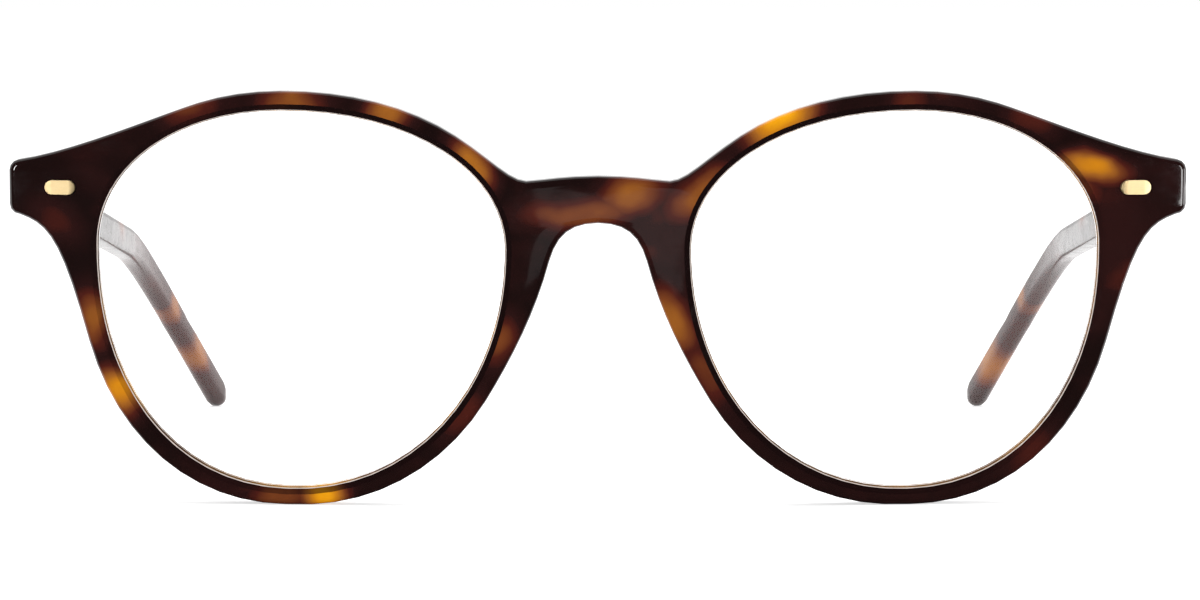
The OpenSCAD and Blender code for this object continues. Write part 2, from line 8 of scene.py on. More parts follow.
import bpy
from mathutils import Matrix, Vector


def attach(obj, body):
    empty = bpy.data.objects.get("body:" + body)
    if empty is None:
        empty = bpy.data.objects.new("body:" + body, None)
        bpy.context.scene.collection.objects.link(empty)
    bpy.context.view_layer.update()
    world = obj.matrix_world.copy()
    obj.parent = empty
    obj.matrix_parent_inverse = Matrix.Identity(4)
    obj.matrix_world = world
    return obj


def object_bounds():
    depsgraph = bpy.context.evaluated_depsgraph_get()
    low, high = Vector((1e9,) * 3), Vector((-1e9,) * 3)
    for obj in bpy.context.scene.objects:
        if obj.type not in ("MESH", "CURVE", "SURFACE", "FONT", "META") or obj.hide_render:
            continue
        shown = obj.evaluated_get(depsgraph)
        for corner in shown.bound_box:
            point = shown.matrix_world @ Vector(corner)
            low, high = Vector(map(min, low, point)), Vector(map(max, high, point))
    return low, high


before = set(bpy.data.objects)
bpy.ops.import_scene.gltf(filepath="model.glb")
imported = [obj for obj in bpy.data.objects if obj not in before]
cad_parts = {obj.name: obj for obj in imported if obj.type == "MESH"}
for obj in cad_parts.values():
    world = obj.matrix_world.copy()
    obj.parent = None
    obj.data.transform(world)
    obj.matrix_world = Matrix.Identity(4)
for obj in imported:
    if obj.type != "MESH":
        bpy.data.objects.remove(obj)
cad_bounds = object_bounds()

log = logging.getLogger("spectacles")
MM = 0.001


class Side(Enum):
    """The wearer's sides; the value is the sign of X."""

    RIGHT = -1
    LEFT = 1

    @property
    def word(self) -> str:
        """The ending that this side's nodes have."""
        return self.name.lower()


def link(tree: bpy.types.NodeTree, start: bpy.types.NodeSocket, end: bpy.types.NodeSocket) -> None:
    """Joins two sockets of a node tree.

    Args:
        tree: the tree that both belong to.
        start: the output.
        end: the input.
    """
    tree.links.new(start, end)


class Tree:
    """Short calls for placing nodes in one node tree."""

    def __init__(self, tree: bpy.types.NodeTree) -> None:
        """Keeps the tree and empties it.

        Args:
            tree: the node tree of a material, a world or a group.
        """
        self.tree = tree
        tree.nodes.clear()

    def add(self, kind: str, **settings: object) -> bpy.types.Node:
        """Adds a node.

        Args:
            kind: the node's type name.
            settings: attributes of the node to set.

        Returns:
            The new node.
        """
        node = self.tree.nodes.new(kind)
        for name, value in settings.items():
            setattr(node, name, value)
        return node

    def put(self, socket: bpy.types.NodeSocket, value: object) -> None:
        """Sets an input to a value, or links it where the value is a socket.

        Args:
            socket: the input.
            value: a number, a tuple or an output socket.
        """
        if isinstance(value, bpy.types.NodeSocket):
            link(self.tree, value, socket)
        else:
            socket.default_value = value

    def math(self, operation: str, a: object, b: object = 0.0) -> bpy.types.NodeSocket:
        """Adds a Math node.

        Args:
            operation: what it works out.
            a: the first value or socket.
            b: the second value or socket.

        Returns:
            Its output.
        """
        node = self.add("ShaderNodeMath", operation=operation)
        self.put(node.inputs[0], a)
        self.put(node.inputs[1], b)
        return node.outputs[0]

    def vector(
        self, operation: str, a: object, b: object = (0.0, 0.0, 0.0), scale: object = None
    ) -> bpy.types.NodeSocket:
        """Adds a Vector Math node.

        Args:
            operation: what it works out.
            a: the first vector or socket.
            b: the second vector or socket.
            scale: the factor of a SCALE operation.

        Returns:
            Its vector output, or its value output for LENGTH and DOT_PRODUCT.
        """
        node = self.add("ShaderNodeVectorMath", operation=operation)
        self.put(node.inputs[0], a)
        if scale is None:
            self.put(node.inputs[1], b)
        else:
            self.put(node.inputs["Scale"], scale)
        return node.outputs["Value" if operation in ("LENGTH", "DOT_PRODUCT") else "Vector"]

    def blend(self, factor: object, a: object, b: object) -> bpy.types.NodeSocket:
        """Mixes two colours.

        Args:
            factor: the share of the second.
            a: the first colour or socket.
            b: the second colour or socket.

        Returns:
            The mixed colour.
        """
        node = self.add("ShaderNodeMix", data_type="RGBA")
        self.put(node.inputs["Factor"], factor)
        self.put(node.inputs[6], a)
        self.put(node.inputs[7], b)
        return node.outputs[2]

    def noise(
        self, at: bpy.types.NodeSocket, scale: float, detail: float = 2.0, rough: float = 0.5
    ) -> bpy.types.Node:
        """Adds a noise texture.

        Args:
            at: where it is read.
            scale: its scale, per unit of the place.
            detail: its octaves.
            rough: how strong the finer octaves are.

        Returns:
            The texture node.
        """
        node = self.add("ShaderNodeTexNoise")
        self.put(node.inputs["Vector"], at)
        self.put(node.inputs["Scale"], scale)
        self.put(node.inputs["Detail"], detail)
        self.put(node.inputs["Roughness"], rough)
        return node

    def ramp(self, value: bpy.types.NodeSocket, low: float, high: float) -> bpy.types.NodeSocket:
        """Turns a value into a soft mask.

        Args:
            value: what is read.
            low: where the mask starts to rise from 0.
            high: where it has reached 1.

        Returns:
            The mask.
        """
        node = self.add("ShaderNodeMapRange", interpolation_type="SMOOTHSTEP")
        self.put(node.inputs["Value"], value)
        self.put(node.inputs["From Min"], low)
        self.put(node.inputs["From Max"], high)
        return node.outputs[0]


@dataclass(frozen=True)
class Cloud:
    """A warm cloud in the acetate sheet, in mm and degrees.

    Attributes:
        across: X of its middle on the front, Y on a temple.
        up: Z of its middle.
        half_long: half its length.
        half_wide: half its width.
        lean: how far it leans.
        warmth: where its middle lies on the scale of SHELL_STOPS.
    """

    across: float
    up: float
    half_long: float
    half_wide: float
    lean: float
    warmth: float


FRONT_CLOUDS = (
    Cloud(-32.6, 1.1, 3.4, 3.2, 0.0, 1.0),
    Cloud(-37.8, 1.0, 4.2, 3.0, 0.0, 0.58),
    Cloud(-57.1, 13.6, 3.6, 3.0, -58.0, 0.92),
    Cloud(-60.3, 22.2, 3.8, 2.2, -78.0, 0.68),
    Cloud(-36.4, 47.9, 4.4, 2.6, 0.0, 0.68),
    Cloud(-48.5, 47.1, 3.8, 2.2, 18.0, 0.52),
    Cloud(-25.1, 46.7, 3.2, 2.6, -15.0, 0.74),
    Cloud(-14.9, 40.9, 3.4, 2.2, -52.0, 0.80),
    Cloud(-11.7, 19.7, 3.4, 2.4, 65.0, 0.60),
    Cloud(-16.2, 11.2, 4.2, 2.6, 52.0, 0.42),
    Cloud(-64.6, 34.0, 3.4, 2.2, -42.0, 0.36),
    Cloud(-2.0, 35.0, 7.5, 2.2, 2.0, 0.62),
    Cloud(4.0, 37.0, 4.8, 2.7, 12.0, 0.70),
    Cloud(11.9, 37.2, 5.0, 2.6, 40.0, 0.68),
    Cloud(8.8, 22.4, 5.0, 2.4, -62.0, 0.70),
    Cloud(12.4, 16.0, 5.0, 2.4, -56.0, 0.52),
    Cloud(21.4, 46.1, 5.2, 3.2, 28.0, 0.98),
    Cloud(58.8, 40.2, 5.0, 1.8, -6.0, 0.88),
    Cloud(57.0, 38.4, 4.0, 2.0, -30.0, 0.54),
    Cloud(37.1, 48.0, 3.0, 2.4, 0.0, 0.45),
    Cloud(51.4, 46.1, 3.4, 2.4, -20.0, 0.42),
    Cloud(51.4, 6.1, 4.4, 2.8, 50.0, 0.38),
)
RIGHT_TEMPLE_CLOUDS = (
    Cloud(55.0, 14.0, 50.0, 30.0, 0.0, 0.35),
    Cloud(57.0, 15.2, 2.4, 3.8, 42.0, 0.70),
    Cloud(63.2, 8.4, 3.4, 4.0, 42.0, 0.68),
    Cloud(22.0, 29.0, 5.0, 3.0, 10.0, 0.60),
)
LEFT_TEMPLE_CLOUDS = (
    Cloud(55.0, 14.0, 50.0, 30.0, 0.0, 0.35),
    Cloud(56.4, 16.6, 2.3, 3.4, 42.0, 0.80),
    Cloud(64.6, 7.0, 4.8, 4.4, 42.0, 0.78),
    Cloud(12.0, 31.0, 5.0, 3.0, 10.0, 0.62),
)

# Colours of the acetate from its darkest ground, at 0, to its palest cloud, at 1.
SHELL_STOPS = (
    (0.00, (0.0090, 0.0036, 0.0034)),
    (0.26, (0.022, 0.0062, 0.0058)),
    (0.44, (0.066, 0.0115, 0.0075)),
    (0.60, (0.165, 0.043, 0.0120)),
    (0.76, (0.33, 0.110, 0.0150)),
    (0.90, (0.57, 0.205, 0.0080)),
    (1.00, (0.85, 0.365, 0.0060)),
)

# Half depth in mm that a cloud has through its sheet, far more than any sheet's.
THROUGH = 900.0

# The inside of a rim: painted shade on its bevel, and a painted glow of light through the acetate on its wall
# behind the lens, dim where the acetate is dark and bright where it is pale.
BEVEL_SHADE = (0.008, 0.003, 0.003, 1.0)
WALL_GLOW = ((0.075, 0.03, 0.01, 1.0), (0.55, 0.27, 0.04, 1.0))


@dataclass(frozen=True)
class ShellPattern:
    """How the acetate's colour wanders where no cloud is placed.

    Attributes:
        stretch: how closely the pattern is packed along X, Y and Z.
        broad: scale of its broad drifts per mm.
        veins: scale of its veins per mm.
        wander: how far in mm the drifts bend the veins.
        drift_range: noise between which a drift rises to its full warmth.
        drift_warmth: warmth of a full drift.
        vein_range: noise between which a vein rises to its full warmth.
        vein_warmth: warmth of a full vein.
        fleck_range: noise between which a fleck rises to its full warmth.
        ragged: how unevenly the placed clouds are filled.
    """

    stretch: tuple[float, float, float] = (0.7, 0.5, 1.0)
    broad: float = 0.085
    veins: float = 0.2
    wander: float = 9.0
    drift_range: tuple[float, float] = (0.42, 0.74)
    drift_warmth: float = 0.26
    vein_range: tuple[float, float] = (0.45, 0.75)
    vein_warmth: float = 0.15
    fleck_range: tuple[float, float] = (0.50, 0.66)
    ragged: float = 0.3


@dataclass(frozen=True)
class PolishMarks:
    """The marks that hand polishing leaves.

    Attributes:
        smear: scale of the smears per mm.
        hair: scale of the fine hair lines per mm.
        hair_stretch: how closely the hair lines are packed along X, Y and Z.
        hair_share: how much of the roughness comes from the hair lines.
        hair_height: their height next to the smears'.
        mark_range: unevenness between which a mark rises to its full strength.
        dull: how much darker the metal is between the marks.
    """

    smear: float = 0.35
    hair: float = 0.5
    hair_stretch: tuple[float, float, float] = (1.0, 1.0, 6.0)
    hair_share: float = 0.4
    hair_height: float = 0.12
    mark_range: tuple[float, float] = (0.35, 0.75)
    dull: float = 0.14


@dataclass(frozen=True)
class Groups:
    """The shader groups that more than one finish uses.

    Attributes:
        shell: the tortoiseshell pattern.
        polish: the marks of hand polishing.
    """

    shell: bpy.types.NodeTree
    polish: bpy.types.NodeTree

    @staticmethod
    def socket(tree: bpy.types.NodeTree, name: str, way: str, kind: str, value: object = None) -> None:
        """Gives a group a named socket.

        Args:
            tree: the group.
            name: the socket's name.
            way: INPUT or OUTPUT.
            kind: the socket's type.
            value: the default of an input.
        """
        made = tree.interface.new_socket(name=name, in_out=way, socket_type=kind)
        if value is not None:
            made.default_value = value

    @classmethod
    def build(cls) -> "Groups":
        """Builds every group once.

        Returns:
            The groups.
        """
        return cls(shell=cls.build_shell(ShellPattern()), polish=cls.build_polish(PolishMarks()))

    @classmethod
    def build_shell(cls, pattern: ShellPattern) -> bpy.types.NodeTree:
        """Builds the tortoiseshell pattern.

        Args:
            pattern: how it wanders.

        Returns:
            A group that reads a place in mm, the warmth of the clouds there and the masks of a rim's inside,
            and gives the colour, with painted shade on the bevel and a painted glow on the wall.
        """
        tree = bpy.data.node_groups.new("shell_pattern", "ShaderNodeTree")
        cls.socket(tree, "Place", "INPUT", "NodeSocketVector")
        cls.socket(tree, "Warmth", "INPUT", "NodeSocketFloat", 0.0)
        cls.socket(tree, "Flecks", "INPUT", "NodeSocketFloat", 0.0)
        cls.socket(tree, "Drift", "INPUT", "NodeSocketFloat", 0.0)
        cls.socket(tree, "Bevel", "INPUT", "NodeSocketFloat", 0.0)
        cls.socket(tree, "Wall", "INPUT", "NodeSocketFloat", 0.0)
        cls.socket(tree, "Color", "OUTPUT", "NodeSocketColor")
        t = Tree(tree)
        inn = t.add("NodeGroupInput")
        out = t.add("NodeGroupOutput")
        shift = t.add("ShaderNodeCombineXYZ")
        t.put(shift.inputs[0], inn.outputs["Drift"])
        t.put(shift.inputs[2], t.math("MULTIPLY", inn.outputs["Drift"], 1.7))
        place = t.vector("ADD", inn.outputs["Place"], shift.outputs[0])
        place = t.vector("MULTIPLY", place, pattern.stretch)
        broad = t.noise(place, pattern.broad, 1.5, 0.45)
        bend = t.vector("SCALE", broad.outputs["Color"], scale=pattern.wander)
        fine = t.noise(t.vector("ADD", place, bend), pattern.veins).outputs["Fac"]
        drifts = t.math("MULTIPLY", t.ramp(broad.outputs["Fac"], *pattern.drift_range), pattern.drift_warmth)
        veins = t.math("MULTIPLY", t.ramp(fine, *pattern.vein_range), pattern.vein_warmth)
        flecks = t.math("MULTIPLY", t.ramp(fine, *pattern.fleck_range), inn.outputs["Flecks"])
        ragged = t.math("MULTIPLY", t.math("SUBTRACT", fine, 0.5), pattern.ragged)
        clouds = t.math("MULTIPLY", inn.outputs["Warmth"], t.math("ADD", 1.0, ragged))
        warmth = t.math("MAXIMUM", t.math("ADD", drifts, veins), t.math("MAXIMUM", clouds, flecks))
        ramp = t.add("ShaderNodeValToRGB")
        t.put(ramp.inputs[0], warmth)
        while len(ramp.color_ramp.elements) < len(SHELL_STOPS):
            ramp.color_ramp.elements.new(0.5)
        for element, (place_on, colour) in zip(ramp.color_ramp.elements, SHELL_STOPS):
            element.position = place_on
            element.color = (*colour, 1.0)
        # Painted shade on the rim's bevel, then a painted glow of light through the acetate on the wall
        # behind the lens.
        dimmed = t.blend(inn.outputs["Bevel"], ramp.outputs["Color"], BEVEL_SHADE)
        lit = t.blend(warmth, WALL_GLOW[0], WALL_GLOW[1])
        t.put(out.inputs["Color"], t.blend(inn.outputs["Wall"], dimmed, lit))
        return tree

    @classmethod
    def build_polish(cls, marks: PolishMarks) -> bpy.types.NodeTree:
        """Builds the faint unevenness that hand polishing leaves.

        Args:
            marks: the marks.

        Returns:
            A group that gives a tint, a roughness and a height for a bump.
        """
        tree = bpy.data.node_groups.new("hand_polish", "ShaderNodeTree")
        cls.socket(tree, "Place", "INPUT", "NodeSocketVector")
        cls.socket(tree, "Least", "INPUT", "NodeSocketFloat", 0.05)
        cls.socket(tree, "Most", "INPUT", "NodeSocketFloat", 0.15)
        cls.socket(tree, "Grain", "INPUT", "NodeSocketFloat", 1.0)
        cls.socket(tree, "Matt", "INPUT", "NodeSocketFloat", 0.0)
        cls.socket(tree, "Tint", "INPUT", "NodeSocketColor", (1.0, 1.0, 1.0, 1.0))
        cls.socket(tree, "Color", "OUTPUT", "NodeSocketColor")
        cls.socket(tree, "Roughness", "OUTPUT", "NodeSocketFloat")
        cls.socket(tree, "Height", "OUTPUT", "NodeSocketFloat")
        t = Tree(tree)
        inn = t.add("NodeGroupInput")
        out = t.add("NodeGroupOutput")
        place = t.vector("SCALE", inn.outputs["Place"], scale=inn.outputs["Grain"])
        smear = t.noise(place, marks.smear, 4.0, 0.6).outputs["Fac"]
        hairs = t.noise(t.vector("MULTIPLY", place, marks.hair_stretch), marks.hair).outputs["Fac"]
        spread = t.math("SUBTRACT", inn.outputs["Most"], inn.outputs["Least"])
        hair_part = t.math("MULTIPLY", t.math("SUBTRACT", hairs, 0.5), marks.hair_share)
        mask = t.ramp(t.math("ADD", smear, hair_part), *marks.mark_range)
        rough = t.math("ADD", inn.outputs["Least"], t.math("MULTIPLY", mask, spread))
        t.put(out.inputs["Roughness"], t.math("MAXIMUM", rough, inn.outputs["Matt"]))
        t.put(out.inputs["Height"], t.math("ADD", smear, t.math("MULTIPLY", hairs, marks.hair_height)))
        shade = t.math("ADD", 1.0 - marks.dull, t.math("MULTIPLY", mask, marks.dull))
        t.put(out.inputs["Color"], t.vector("SCALE", inn.outputs["Tint"], scale=shade))
        return tree


def place_in_mm(t: Tree) -> bpy.types.NodeSocket:
    """Gives the place on the object in mm.

    Args:
        t: the material's tree.

    Returns:
        The place as a vector socket.
    """
    at = t.add("ShaderNodeTexCoord")
    return t.vector("SCALE", at.outputs["Object"], scale=1.0 / MM)


def new_material(name: str) -> tuple[bpy.types.Material, Tree, bpy.types.Node, bpy.types.Node]:
    """Starts a material with one Principled shader.

    Args:
        name: the material's name.

    Returns:
        The material, its tree, the shader and the output node.
    """
    material = bpy.data.materials.new(name)
    material.use_nodes = True
    t = Tree(material.node_tree)
    out = t.add("ShaderNodeOutputMaterial")
    shader = t.add("ShaderNodeBsdfPrincipled")
    t.put(out.inputs["Surface"], shader.outputs[0])
    return material, t, shader, out


def add_polish(
    t: Tree, groups: Groups, shader: bpy.types.Node, least: float, most: float, grain: float = 1.0
) -> bpy.types.Node:
    """Adds the hand polish to a material and gives the shader its roughness.

    Args:
        t: the material's tree.
        groups: the shared shader groups.
        shader: the Principled shader.
        least: roughness where it is best polished.
        most: roughness where it is least polished.
        grain: how fine the marks are.

    Returns:
        The group node.
    """
    polish = t.add("ShaderNodeGroup", node_tree=groups.polish)
    t.put(polish.inputs["Place"], place_in_mm(t))
    t.put(polish.inputs["Least"], least)
    t.put(polish.inputs["Most"], most)
    t.put(polish.inputs["Grain"], grain)
    t.put(shader.inputs["Roughness"], polish.outputs["Roughness"])
    return polish


def add_tint(
    t: Tree, shader: bpy.types.Node, polish: bpy.types.Node, tint: tuple[float, float, float]
) -> None:
    """Gives the shader a plain colour, a little darker between the marks of polishing.

    Args:
        t: the material's tree.
        shader: the Principled shader.
        polish: the group node of the polish.
        tint: the colour.
    """
    t.put(polish.inputs["Tint"], (*tint, 1.0))
    t.put(shader.inputs["Base Color"], polish.outputs["Color"])


def add_relief(
    t: Tree, shader: bpy.types.Node, polish: bpy.types.Node, strength: float, depth_mm: float
) -> None:
    """Gives the shader the relief of the polish.

    Args:
        t: the material's tree.
        shader: the Principled shader.
        polish: the group node of the polish.
        strength: how strong the relief is.
        depth_mm: its depth.
    """
    bump = t.add("ShaderNodeBump")
    bump.inputs["Strength"].default_value = strength
    bump.inputs["Distance"].default_value = depth_mm * MM
    t.put(bump.inputs["Height"], polish.outputs["Height"])
    t.put(shader.inputs["Normal"], bump.outputs[0])


class Plane(Enum):
    """The plane that a sheet's clouds are laid out in."""

    FRONT = "XZ"
    SIDE = "YZ"


@dataclass(frozen=True)
class RimInside:
    """Where the inside of a rim gets painted shade, on its bevel, and a painted glow, behind the lens.
    Lengths in mm.

    Attributes:
        middle: X and Z of the middle of the opening.
        face_y: Y of the foremost point of the front.
        curve_r: radius of the curve of the front.
        curve_z: Z of the middle of that curve.
        behind: depth behind the front face from which the wall glows.
        bevel: how far a face turns to the opening where the bevel's mask starts, and where it is full.
        wall: the same for the wall.
        matt: roughness of the wall.
        lip: how far a face turns to the front where the lip behind the lens starts, and where it is full.
        back: how far a face may turn to the back and still glow.
    """

    middle: tuple[float, float] = (35.3, 24.5)
    face_y: float = -71.5
    curve_r: float = 330.0
    curve_z: float = 37.8
    behind: float = 1.25
    bevel: tuple[float, float] = (0.45, 0.6)
    wall: tuple[float, float] = (0.3, 0.45)
    matt: float = 0.9
    lip: tuple[float, float] = (0.4, 0.6)
    back: float = 0.3

    def masks(
        self, t: Tree, place: bpy.types.NodeSocket
    ) -> tuple[bpy.types.NodeSocket, bpy.types.NodeSocket]:
        """Adds the masks of the painted shade on the bevel and of the painted glow on the wall.

        Args:
            t: the material's tree.
            place: the place in mm.

        Returns:
            The mask of the bevel with the wall, and the mask of the wall alone.
        """
        flat = (1.0, 0.0, 1.0)
        normal = t.add("ShaderNodeNewGeometry").outputs["True Normal"]
        mirrored = t.vector("MULTIPLY", t.vector("ABSOLUTE", place), flat)
        out = t.vector("SUBTRACT", mirrored, (self.middle[0], 0.0, self.middle[1]))
        facing = t.vector("MULTIPLY", normal, t.vector("SIGN", place))
        facing = t.vector("MULTIPLY", facing, flat)
        inward = t.math("MULTIPLY", t.vector("DOT_PRODUCT", facing, t.vector("NORMALIZE", out)), -1.0)
        forward = t.math("MULTIPLY", t.vector("DOT_PRODUCT", normal, (0.0, 1.0, 0.0)), -1.0)
        from_curve = t.vector("MULTIPLY", t.vector("SUBTRACT", place, (0.0, 0.0, self.curve_z)), flat)
        sag = t.math("DIVIDE", t.vector("DOT_PRODUCT", from_curve, from_curve), 2 * self.curve_r)
        face = t.math("ADD", self.face_y, sag)
        depth = t.math("SUBTRACT", t.vector("DOT_PRODUCT", place, (0.0, 1.0, 0.0)), face)
        either = t.math("MAXIMUM", t.ramp(inward, *self.wall), t.ramp(forward, *self.lip))
        behind = t.math("GREATER_THAN", depth, self.behind)
        deep = t.math("MULTIPLY", behind, t.math("GREATER_THAN", forward, -self.back))
        return t.ramp(inward, *self.bevel), t.math("MULTIPLY", either, deep)


@dataclass(frozen=True)
class Acetate:
    """Polished tortoiseshell acetate.

    Attributes:
        name: the material's name.
        clouds: the clouds whose places are known.
        plane: the plane that they are laid out in.
        flecks: warmth of the scattered flecks between them.
        drift: how far in mm the pattern is shifted, so that no two pieces match.
        least_rough: roughness where it is best polished.
        most_rough: roughness where it is least polished.
        inside: where the inside of the rims gets painted shade and a painted glow, or None on a piece without
            any.
        index: the refractive index.
        relief: strength of the relief of the polish.
        relief_mm: its depth.
        wander_mm: how far the edges of the clouds wander.
        fade: how far from a cloud's middle it ends, and over what distance it fades, in half lengths.
    """

    name: str
    clouds: tuple[Cloud, ...] = ()
    plane: Plane = Plane.FRONT
    flecks: float = 0.0
    drift: float = 0.0
    least_rough: float = 0.03
    most_rough: float = 0.09
    inside: RimInside | None = None
    index: float = 1.48
    relief: float = 0.015
    relief_mm: float = 0.05
    wander_mm: float = 2.4
    fade: tuple[float, float] = (1.75, 1.6)

    def cloud_warmth(self, t: Tree, place: bpy.types.NodeSocket) -> bpy.types.NodeSocket | float:
        """Adds the warm clouds that the sheet has at known places.

        Args:
            t: the material's tree.
            place: the place in mm.

        Returns:
            The warmth of the strongest cloud at a place.
        """
        wander = t.vector("SUBTRACT", t.noise(place, 0.16, 2.0, 0.5).outputs["Color"], (0.5, 0.5, 0.5))
        bent = t.vector("ADD", place, t.vector("SCALE", wander, scale=self.wander_mm))
        total: bpy.types.NodeSocket | float = 0.0
        for cloud in self.clouds:
            laid = t.add("ShaderNodeMapping", vector_type="TEXTURE")
            t.put(laid.inputs["Vector"], bent)
            lean = math.radians(cloud.lean)
            if self.plane is Plane.SIDE:
                laid.inputs["Location"].default_value = (0.0, cloud.across, cloud.up)
                laid.inputs["Rotation"].default_value = (-lean, 0.0, 0.0)
                laid.inputs["Scale"].default_value = (THROUGH, cloud.half_long, cloud.half_wide)
            else:
                laid.inputs["Location"].default_value = (cloud.across, 0.0, cloud.up)
                laid.inputs["Rotation"].default_value = (0.0, -lean, 0.0)
                laid.inputs["Scale"].default_value = (cloud.half_long, THROUGH, cloud.half_wide)
            reach = t.vector("LENGTH", laid.outputs[0])
            inside = t.ramp(t.math("SUBTRACT", self.fade[0], reach), 0.0, self.fade[1])
            total = t.math("MAXIMUM", total, t.math("MULTIPLY", inside, cloud.warmth))
        return total

    def build(self, groups: Groups) -> bpy.types.Material:
        """Builds the material.

        Args:
            groups: the shared shader groups.

        Returns:
            The material.
        """
        material, t, shader, _ = new_material(self.name)
        place = place_in_mm(t)
        shell = t.add("ShaderNodeGroup", node_tree=groups.shell)
        t.put(shell.inputs["Place"], place)
        t.put(shell.inputs["Warmth"], self.cloud_warmth(t, place))
        t.put(shell.inputs["Flecks"], self.flecks)
        t.put(shell.inputs["Drift"], self.drift)
        t.put(shader.inputs["Base Color"], shell.outputs["Color"])
        polish = add_polish(t, groups, shader, self.least_rough, self.most_rough)
        if self.inside:
            # Painted shade on the rims' bevels and a painted glow on their walls behind the lenses.
            bevel, wall = self.inside.masks(t, place)
            t.put(shell.inputs["Bevel"], bevel)
            t.put(shell.inputs["Wall"], wall)
            t.put(polish.inputs["Matt"], t.math("MULTIPLY", wall, self.inside.matt))
        add_relief(t, shader, polish, self.relief, self.relief_mm)
        shader.inputs["IOR"].default_value = self.index
        return material


@dataclass(frozen=True)
class Metal:
    """Plated or plain metal trim.

    Attributes:
        name: the material's name.
        colour: the metal's colour.
        least_rough: roughness where it is best polished.
        most_rough: roughness where it is least polished.
        grain: how fine the marks of polishing are.
        relief: strength of their relief.
        relief_mm: its depth.
    """

    name: str
    colour: tuple[float, float, float]
    least_rough: float
    most_rough: float
    grain: float = 2.0
    relief: float = 0.05
    relief_mm: float = 0.02

    def build(self, groups: Groups) -> bpy.types.Material:
        """Builds the material.

        Args:
            groups: the shared shader groups.

        Returns:
            The material.
        """
        material, t, shader, _ = new_material(self.name)
        polish = add_polish(t, groups, shader, self.least_rough, self.most_rough, self.grain)
        add_tint(t, shader, polish, self.colour)
        add_relief(t, shader, polish, self.relief, self.relief_mm)
        shader.inputs["Metallic"].default_value = 1.0
        return material


@dataclass(frozen=True)
class ClearLens:
    """Coated plastic lens.

    Attributes:
        name: the material's name.
        index: the refractive index, low because the coating takes most of the mirroring away.
        most_rough: roughness where it is least polished.
        side: how far a face turns to the front where the lens's side ends, and where its faces start.
    """

    name: str = "clear_lens"
    index: float = 1.25
    most_rough: float = 0.012
    side: tuple[float, float] = (0.3, 0.5)

    def build(self, groups: Groups) -> bpy.types.Material:
        """Builds the material, which light crosses unbent for shadows and, at its edge, to the rim.

        Args:
            groups: the shared shader groups.

        Returns:
            The material.
        """
        material, t, shader, out = new_material(self.name)
        shader.inputs["Base Color"].default_value = (1.0, 1.0, 1.0, 1.0)
        shader.inputs["Transmission Weight"].default_value = 1.0
        shader.inputs["IOR"].default_value = self.index
        add_polish(t, groups, shader, 0.0, self.most_rough)
        clear = t.add("ShaderNodeBsdfTransparent")
        ray = t.add("ShaderNodeLightPath")
        pick = t.add("ShaderNodeMixShader")
        facing = t.add("ShaderNodeSeparateXYZ")
        normal = t.add("ShaderNodeNewGeometry").outputs["True Normal"]
        t.put(facing.inputs[0], t.vector("ABSOLUTE", normal))
        rim_side = t.math("SUBTRACT", 1.0, t.ramp(facing.outputs["Y"], *self.side))
        t.put(pick.inputs[0], t.math("MAXIMUM", ray.outputs["Is Shadow Ray"], rim_side))
        t.put(pick.inputs[1], shader.outputs[0])
        t.put(pick.inputs[2], clear.outputs[0])
        t.put(out.inputs["Surface"], pick.outputs[0])
        return material


# Corners closer than this, in mm, are joined; faces keep their flatness by this weight.
WELD_MM = 0.002
FLAT_WEIGHT = 90


def dress(
    node: str, material: bpy.types.Material, bevel_mm: float = 0.0, sharp_deg: float = 32.0
) -> bpy.types.Object:
    """Gives a CAD node its material, smooth shading and, for metal, softened edges.

    Args:
        node: the node's name.
        material: its finish.
        bevel_mm: width of the softened edges.
        sharp_deg: angle from which an edge stays sharp.

    Returns:
        The node's object.
    """
    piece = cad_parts[node]
    piece.data.materials.clear()
    piece.data.materials.append(material)
    weld = piece.modifiers.new("weld", "WELD")
    weld.merge_threshold = WELD_MM * MM
    if bevel_mm:
        bevel = piece.modifiers.new("soft_edges", "BEVEL")
        bevel.width = bevel_mm * MM
        bevel.segments = 2
        bevel.limit_method = "ANGLE"
        bevel.angle_limit = math.radians(sharp_deg)
    for polygon in piece.data.polygons:
        polygon.use_smooth = True
    split = piece.modifiers.new("sharp_edges", "EDGE_SPLIT")
    split.split_angle = math.radians(sharp_deg)
    even = piece.modifiers.new("even_faces", "WEIGHTED_NORMAL")
    even.mode = "FACE_AREA"
    even.weight = FLAT_WEIGHT
    even.keep_sharp = True
    return piece


@dataclass
class Front:
    """The acetate front with its nose pads.

    Attributes:
        acetate: finish of the front.
        pads: finish of the pads.
    """

    acetate: Acetate = field(
        default_factory=lambda: Acetate("front_acetate", FRONT_CLOUDS, inside=RimInside())
    )
    pads: Acetate = field(default_factory=lambda: Acetate("pad_acetate", flecks=0.6, drift=31.0))

    def build(self, groups: Groups) -> list[bpy.types.Object]:
        """Dresses the front and the pads.

        Args:
            groups: the shared shader groups.

        Returns:
            The dressed pieces.
        """
        finish = self.acetate.build(groups)
        soft = self.pads.build(groups)
        made = [dress("frame_front", finish)]
        made += [dress("nose_pad_" + side.word, soft) for side in Side]
        return made


